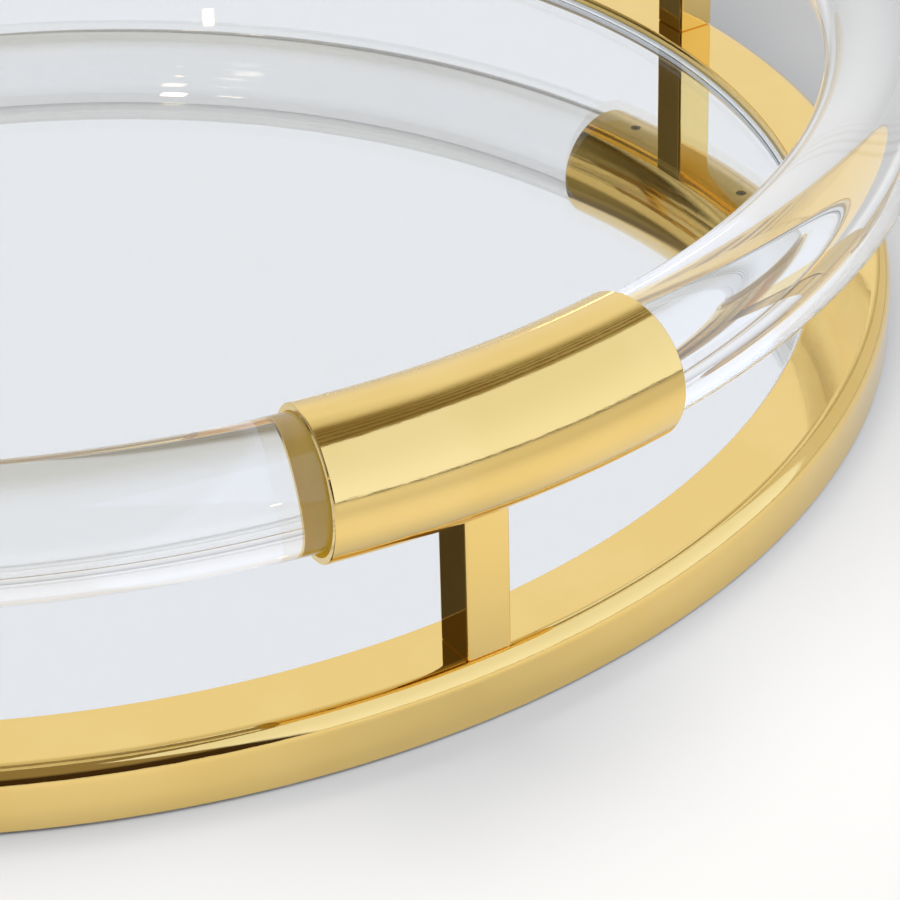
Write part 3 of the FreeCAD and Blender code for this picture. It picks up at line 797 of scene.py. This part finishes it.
gold, bore_gold_painted_glow = gold_material(), bore_gold_painted_glow_material()
acrylic = clear_material("clear_acrylic", (0.985, 0.988, 0.995, 1), 1.49, 0.000004, 0.972)
clear_glass = clear_material("clear_glass", (0.935, 0.94, 0.945, 1), 1.52, 0.0000002, 1.0)
ground_edge_painted_glow = ground_edge_painted_glow_material()
silver, paint = silvering_material(), paint_material()
steel = steel_material("zinc_steel", (0.46, 0.47, 0.48, 1), (0.66, 0.67, 0.68, 1), 0.22, 0.42)
dark_steel = steel_material("dark_steel", (0.05, 0.05, 0.055, 1), (0.2, 0.19, 0.18, 1), 0.3, 0.5)


def dress(made, *materials):
    """Give a piece its materials, in the order of its slots."""
    made.data.materials.clear()
    for material in materials:
        made.data.materials.append(material)


for made in [ring] + posts:
    dress(made, gold)
for made in sleeves:
    dress(made, gold, bore_gold_painted_glow)
    for polygon in made.data.polygons:
        x, y, z = polygon.center
        away = math.hypot(math.hypot(x, y) - RAIL_RADIUS, z - SLEEVE_HEIGHT)
        polygon.material_index = 1 if away < BORE_RADIUS + 0.02 * MM else 0
for made in rods:
    dress(made, acrylic)
dress(glass, clear_glass, ground_edge_painted_glow)
for polygon in glass.data.polygons:
    polygon.material_index = 1 if abs(polygon.normal.z) < 0.9 else 0
dress(silvering, silver, paint)
for polygon in silvering.data.polygons:
    polygon.material_index = 0 if polygon.normal.z > 0.9 else 1

# the pieces inside keep their CAD meshes
HIDDEN_LOOKS = {
    "base_felt": felt_material(), "base_board": board_material(), "mirror_tape": foam_material(),
    "board_screws": steel, "post_screws": steel, "sleeve_screws": steel, "saddle_washers": steel,
    "grub_screws": dark_steel,
}
for name, material in HIDDEN_LOOKS.items():
    slots = nodes[name].material_slots
    for slot in slots:
        slot.material = material
    if not len(slots):
        nodes[name].data.materials.append(material)


# ---- floor ---------------------------------------------------------------------------------------

# Bearings are in degrees clockwise from +Y, seen from above; the camera looks along VIEW_BEARING.
VIEW_BEARING = 32.745
VIEW_DIP = 32.119
VIEW_ROLL = -1.544


def toward(bearing, rise):
    """A unit vector at a bearing and a rise above the horizon, both in degrees."""
    b, r = math.radians(bearing), math.radians(rise)
    return Vector((math.sin(b) * math.cos(r), math.cos(b) * math.cos(r), math.sin(r)))


FLOOR_RADIUS, FLOOR_DEPTH, FLOOR_ROUNDING = 2.5, 0.02, 0.004
FLOOR_GAP = 0.05 * MM


def floor_material():
    """Pale table top, greyer beside and behind the tray and away from it: these greys are painted
    shade and a painted pool of light around the tray.
    """
    material, graph = new_material("floor_painted_light_and_shade")
    place = graph.place()
    cloud = graph.noise(place, 6.0, 2.0)
    ahead = graph.dot(place, toward(VIEW_BEARING, 0))
    distance = graph.add("ShaderNodeVectorMath", {0: place}, operation="LENGTH").outputs["Value"]

    def pale(red, green, blue):
        return graph.mix(cloud, (red, green, blue, 1), (red + 0.01, green + 0.01, blue + 0.01, 1))

    # painted pool of light in front: paler within about 0.18 m of the tray, greyer beyond 0.30 m
    near = graph.mix(graph.step(distance, 0.18, 0.30),
                     pale(0.69, 0.685, 0.67), pale(0.49, 0.49, 0.485))
    # painted shade behind the tray: darkest just behind it, paler beyond 0.24 m along the view
    far = graph.mix(graph.step(ahead, 0.15, 0.24), pale(0.40, 0.40, 0.395), pale(0.70, 0.70, 0.695))
    shader = graph.add("ShaderNodeBsdfPrincipled", {
        "Base Color": graph.mix(graph.step(ahead, -0.14, 0.16), near, far),
        "Roughness": graph.step(cloud, 0.3, 0.7, 0.7, 0.8), "Specular IOR Level": 0.1})
    finish_material(graph, shader.outputs[0])
    return material


def make_floor():
    """A round pale table top, just under the felt."""
    corners = [(-FLOOR_RADIUS, -FLOOR_DEPTH, FLOOR_ROUNDING),
               (FLOOR_RADIUS, -FLOOR_DEPTH, FLOOR_ROUNDING),
               (FLOOR_RADIUS, 0.0, FLOOR_ROUNDING), (-FLOOR_RADIUS, 0.0, FLOOR_ROUNDING)]
    points, normals = half_outline(rounded_outline(corners, steps=4))
    points, normals = divided(points, normals, 0.1, closed=False)
    points[:, 1] -= FLOOR_GAP
    made = lathe("Floor", points, False, 180)
    made.data.materials.append(floor_material())


make_floor()


# ---- studio --------------------------------------------------------------------------------------

def panel(graph, way, bearing, rise, width, height, edge, tilt=0.0):
    """A flat rectangular panel that faces the tray from far off.

    Gives a mask, 1 inside and 0 outside, and how far up the panel a direction points.  width and
    height are tangents of the half angles, and edge is how soft the border is.
    """
    middle = toward(bearing, rise)
    across = Vector((0, 0, 1)).cross(-middle).normalized()
    above = middle.cross(-across).normalized()
    turn = math.radians(tilt)
    across, above = (across * math.cos(turn) + above * math.sin(turn),
                     above * math.cos(turn) - across * math.sin(turn))
    depth = graph.dot(way, middle)
    safe = graph.math("MAXIMUM", depth, 0.001)
    mask = graph.step(depth, 0.0, 0.01)
    for axis, half in ((across, width), (above, height)):
        place = graph.math("ABSOLUTE", graph.math("DIVIDE", graph.dot(way, axis), safe))
        mask = graph.math("MULTIPLY", mask, graph.step(place, half - edge, half + edge, 1.0, 0.0))
    return mask, graph.math("DIVIDE", graph.dot(way, above), safe)


# bearing from the view, rise, tangents of the half width and half height, colour
STUDIO_LAMPS = ((-3.3, 8.5, 0.005, 0.03, (5.0, 4.4, 3.2, 1)),
                (-4.2, 24.75, 0.0013, 0.0022, (6.0, 4.6, 2.7, 1)),
                (-150.0, 22.0, 0.03, 0.03, (14.0, 11.8, 8.7, 1)))


def room_colour(graph, rise, ahead, rightward):
    """The walls and the ceiling by direction, each direction given as three cosines.

    The wall is pale.  The right dims upwards to a warm ceiling, and the upper left and the side
    towards the viewer are dark.
    """
    wall = graph.mix(graph.step(rise, 0.0, 0.35), (0.82, 0.82, 0.84, 1), (0.96, 0.975, 1.01, 1))
    wall = graph.mix(graph.step(rise, 0.70, 0.97), wall, (0.68, 0.66, 0.60, 1))
    dim = graph.mix(graph.step(rise, 0.60, 0.80), (0.76, 0.75, 0.73, 1), (0.42, 0.39, 0.30, 1))
    dim = graph.mix(graph.step(rise, 0.82, 0.93), dim, (0.28, 0.23, 0.13, 1))
    colour = graph.mix(graph.step(rightward, 0.2, 0.5), wall, dim)
    left_high = graph.mix(graph.step(ahead, 0.5, 0.1),
                          (0.07, 0.05, 0.025, 1), (0.24, 0.23, 0.18, 1))
    left = graph.mix(graph.step(rise, 0.24, 0.36), (0.80, 0.78, 0.72, 1), left_high)
    colour = graph.mix(graph.step(rightward, -0.78, -0.88), colour, left)
    near = graph.mix(graph.step(rise, 0.4, 0.62), (0.05, 0.03, 0.016, 1), (0.30, 0.25, 0.16, 1))
    colour = graph.mix(graph.step(ahead, -0.15, -0.6), colour, near)
    ceiling = graph.math(
        "MULTIPLY", graph.step(rise, 0.93, 0.985), graph.step(rightward, 0.1, 0.45))
    return graph.mix(ceiling, colour, (0.31, 0.27, 0.17, 1))


def slats(graph, height, rightward):
    """1 on the dark slats above the window and 0 elsewhere; height is measured up the window."""
    wave = graph.math("SINE", graph.math("MULTIPLY", height, 42.0))
    above = graph.math("MULTIPLY", graph.step(height, 0.85, 0.95),
                       graph.step(height, 2.2, 0.9, 0.0, 0.85))
    mask = graph.math("MULTIPLY", graph.step(wave, -0.2, 0.9), above)
    return graph.math("MULTIPLY", mask, graph.step(rightward, 0.25, 0.5))


def make_world():
    """The room around the tray: walls, a large cool window at the right and three small lamps."""
    world = bpy.data.worlds.new("Studio")
    world.use_nodes = True
    graph = Nodes(world.node_tree)
    way = graph.add("ShaderNodeTexCoord").outputs["Generated"]
    rise = graph.dot(way, Vector((0, 0, 1)))
    flat = graph.add("ShaderNodeVectorMath", {0: way, 1: (1.0, 1.0, 0.0)},
                     operation="MULTIPLY").outputs["Vector"]
    heading = graph.add("ShaderNodeVectorMath", {0: flat},
                        operation="NORMALIZE").outputs["Vector"]
    ahead = graph.dot(heading, toward(VIEW_BEARING, 0))
    rightward = graph.dot(heading, toward(VIEW_BEARING + 90, 0))

    colour = room_colour(graph, rise, ahead, rightward)
    window, height = panel(graph, way, VIEW_BEARING + 106, 30, 0.78, 0.82, 0.04, 8)
    colour = graph.mix(slats(graph, height, rightward), colour, (0.16, 0.12, 0.06, 1))
    glow = graph.mix(graph.step(rise, 0.0, 0.9), (1.08, 1.22, 1.62, 1), (0.95, 1.06, 1.34, 1))
    colour = graph.mix(window, colour, glow)
    below = graph.step(rise, -0.04, 0.0, 1.0, 0.0)
    colour = graph.mix(below, colour, (0.74, 0.78, 0.84, 1))
    for bearing, lamp_rise, half_width, half_height, shine in STUDIO_LAMPS:
        lamp, _ = panel(graph, way, VIEW_BEARING + bearing, lamp_rise, half_width, half_height,
                        half_width * 0.4)
        colour = graph.mix(lamp, colour, shine)
    background = graph.add("ShaderNodeBackground", {"Color": colour, "Strength": 1.0})
    graph.add("ShaderNodeOutputWorld", {"Surface": background.outputs[0]})
    scene.world = world


make_world()


def make_lamp(name, bearing, rise, distance, size, power):
    """A soft square lamp for the floor that stays out of the tray's reflections."""
    light = bpy.data.lights.new(name, "AREA")
    light.shape, light.size, light.energy = "SQUARE", size, power
    light.color = (1.0, 0.985, 0.95)
    made = bpy.data.objects.new(name, light)
    way = toward(bearing, rise)
    turned = way.to_track_quat("Z", "Y").to_matrix().to_4x4()
    made.matrix_world = Matrix.Translation(way * distance) @ turned
    made.visible_glossy = False
    made.visible_transmission = False
    made.visible_camera = False
    scene.collection.objects.link(made)


make_lamp("OverheadLight", VIEW_BEARING, 82, 1.0, 0.7, 4.2)
make_lamp("FrontLight", VIEW_BEARING + 150, 42, 0.9, 0.5, 5.3)


# ---- camera --------------------------------------------------------------------------------------

CAMERA_PLACE = Vector((-0.2128, -0.4703, 0.2861))
SENSOR_WIDTH, LENS_LENGTH = 36.0, 136.88


def make_camera():
    """A long lens that looks down at the front of the tray."""
    bearing, dip, roll = (math.radians(a) for a in (VIEW_BEARING, VIEW_DIP, VIEW_ROLL))
    ahead = Vector((math.sin(bearing) * math.cos(dip), math.cos(bearing) * math.cos(dip),
                    -math.sin(dip)))
    right = Vector((math.cos(bearing), -math.sin(bearing), 0))
    above = right.cross(ahead)
    right, above = (right * math.cos(roll) + above * math.sin(roll),
                    above * math.cos(roll) - right * math.sin(roll))
    camera = bpy.data.cameras.new("Camera")
    camera.sensor_width, camera.lens = SENSOR_WIDTH, LENS_LENGTH
    camera.clip_start, camera.clip_end = 0.01, 50.0
    made = bpy.data.objects.new("Camera", camera)
    turned = Matrix((right, above, -ahead)).transposed().to_4x4()
    made.matrix_world = Matrix.Translation(CAMERA_PLACE) @ turned
    scene.collection.objects.link(made)
    scene.camera = made


make_camera()
scene.view_settings.view_transform = "Standard"
scene.cycles.max_bounces = 24
scene.cycles.transmission_bounces = 20
scene.cycles.glossy_bounces = 12
scene.cycles.transparent_max_bounces = 16
scene.cycles.caustics_refractive = True
scene.cycles.caustics_reflective = False
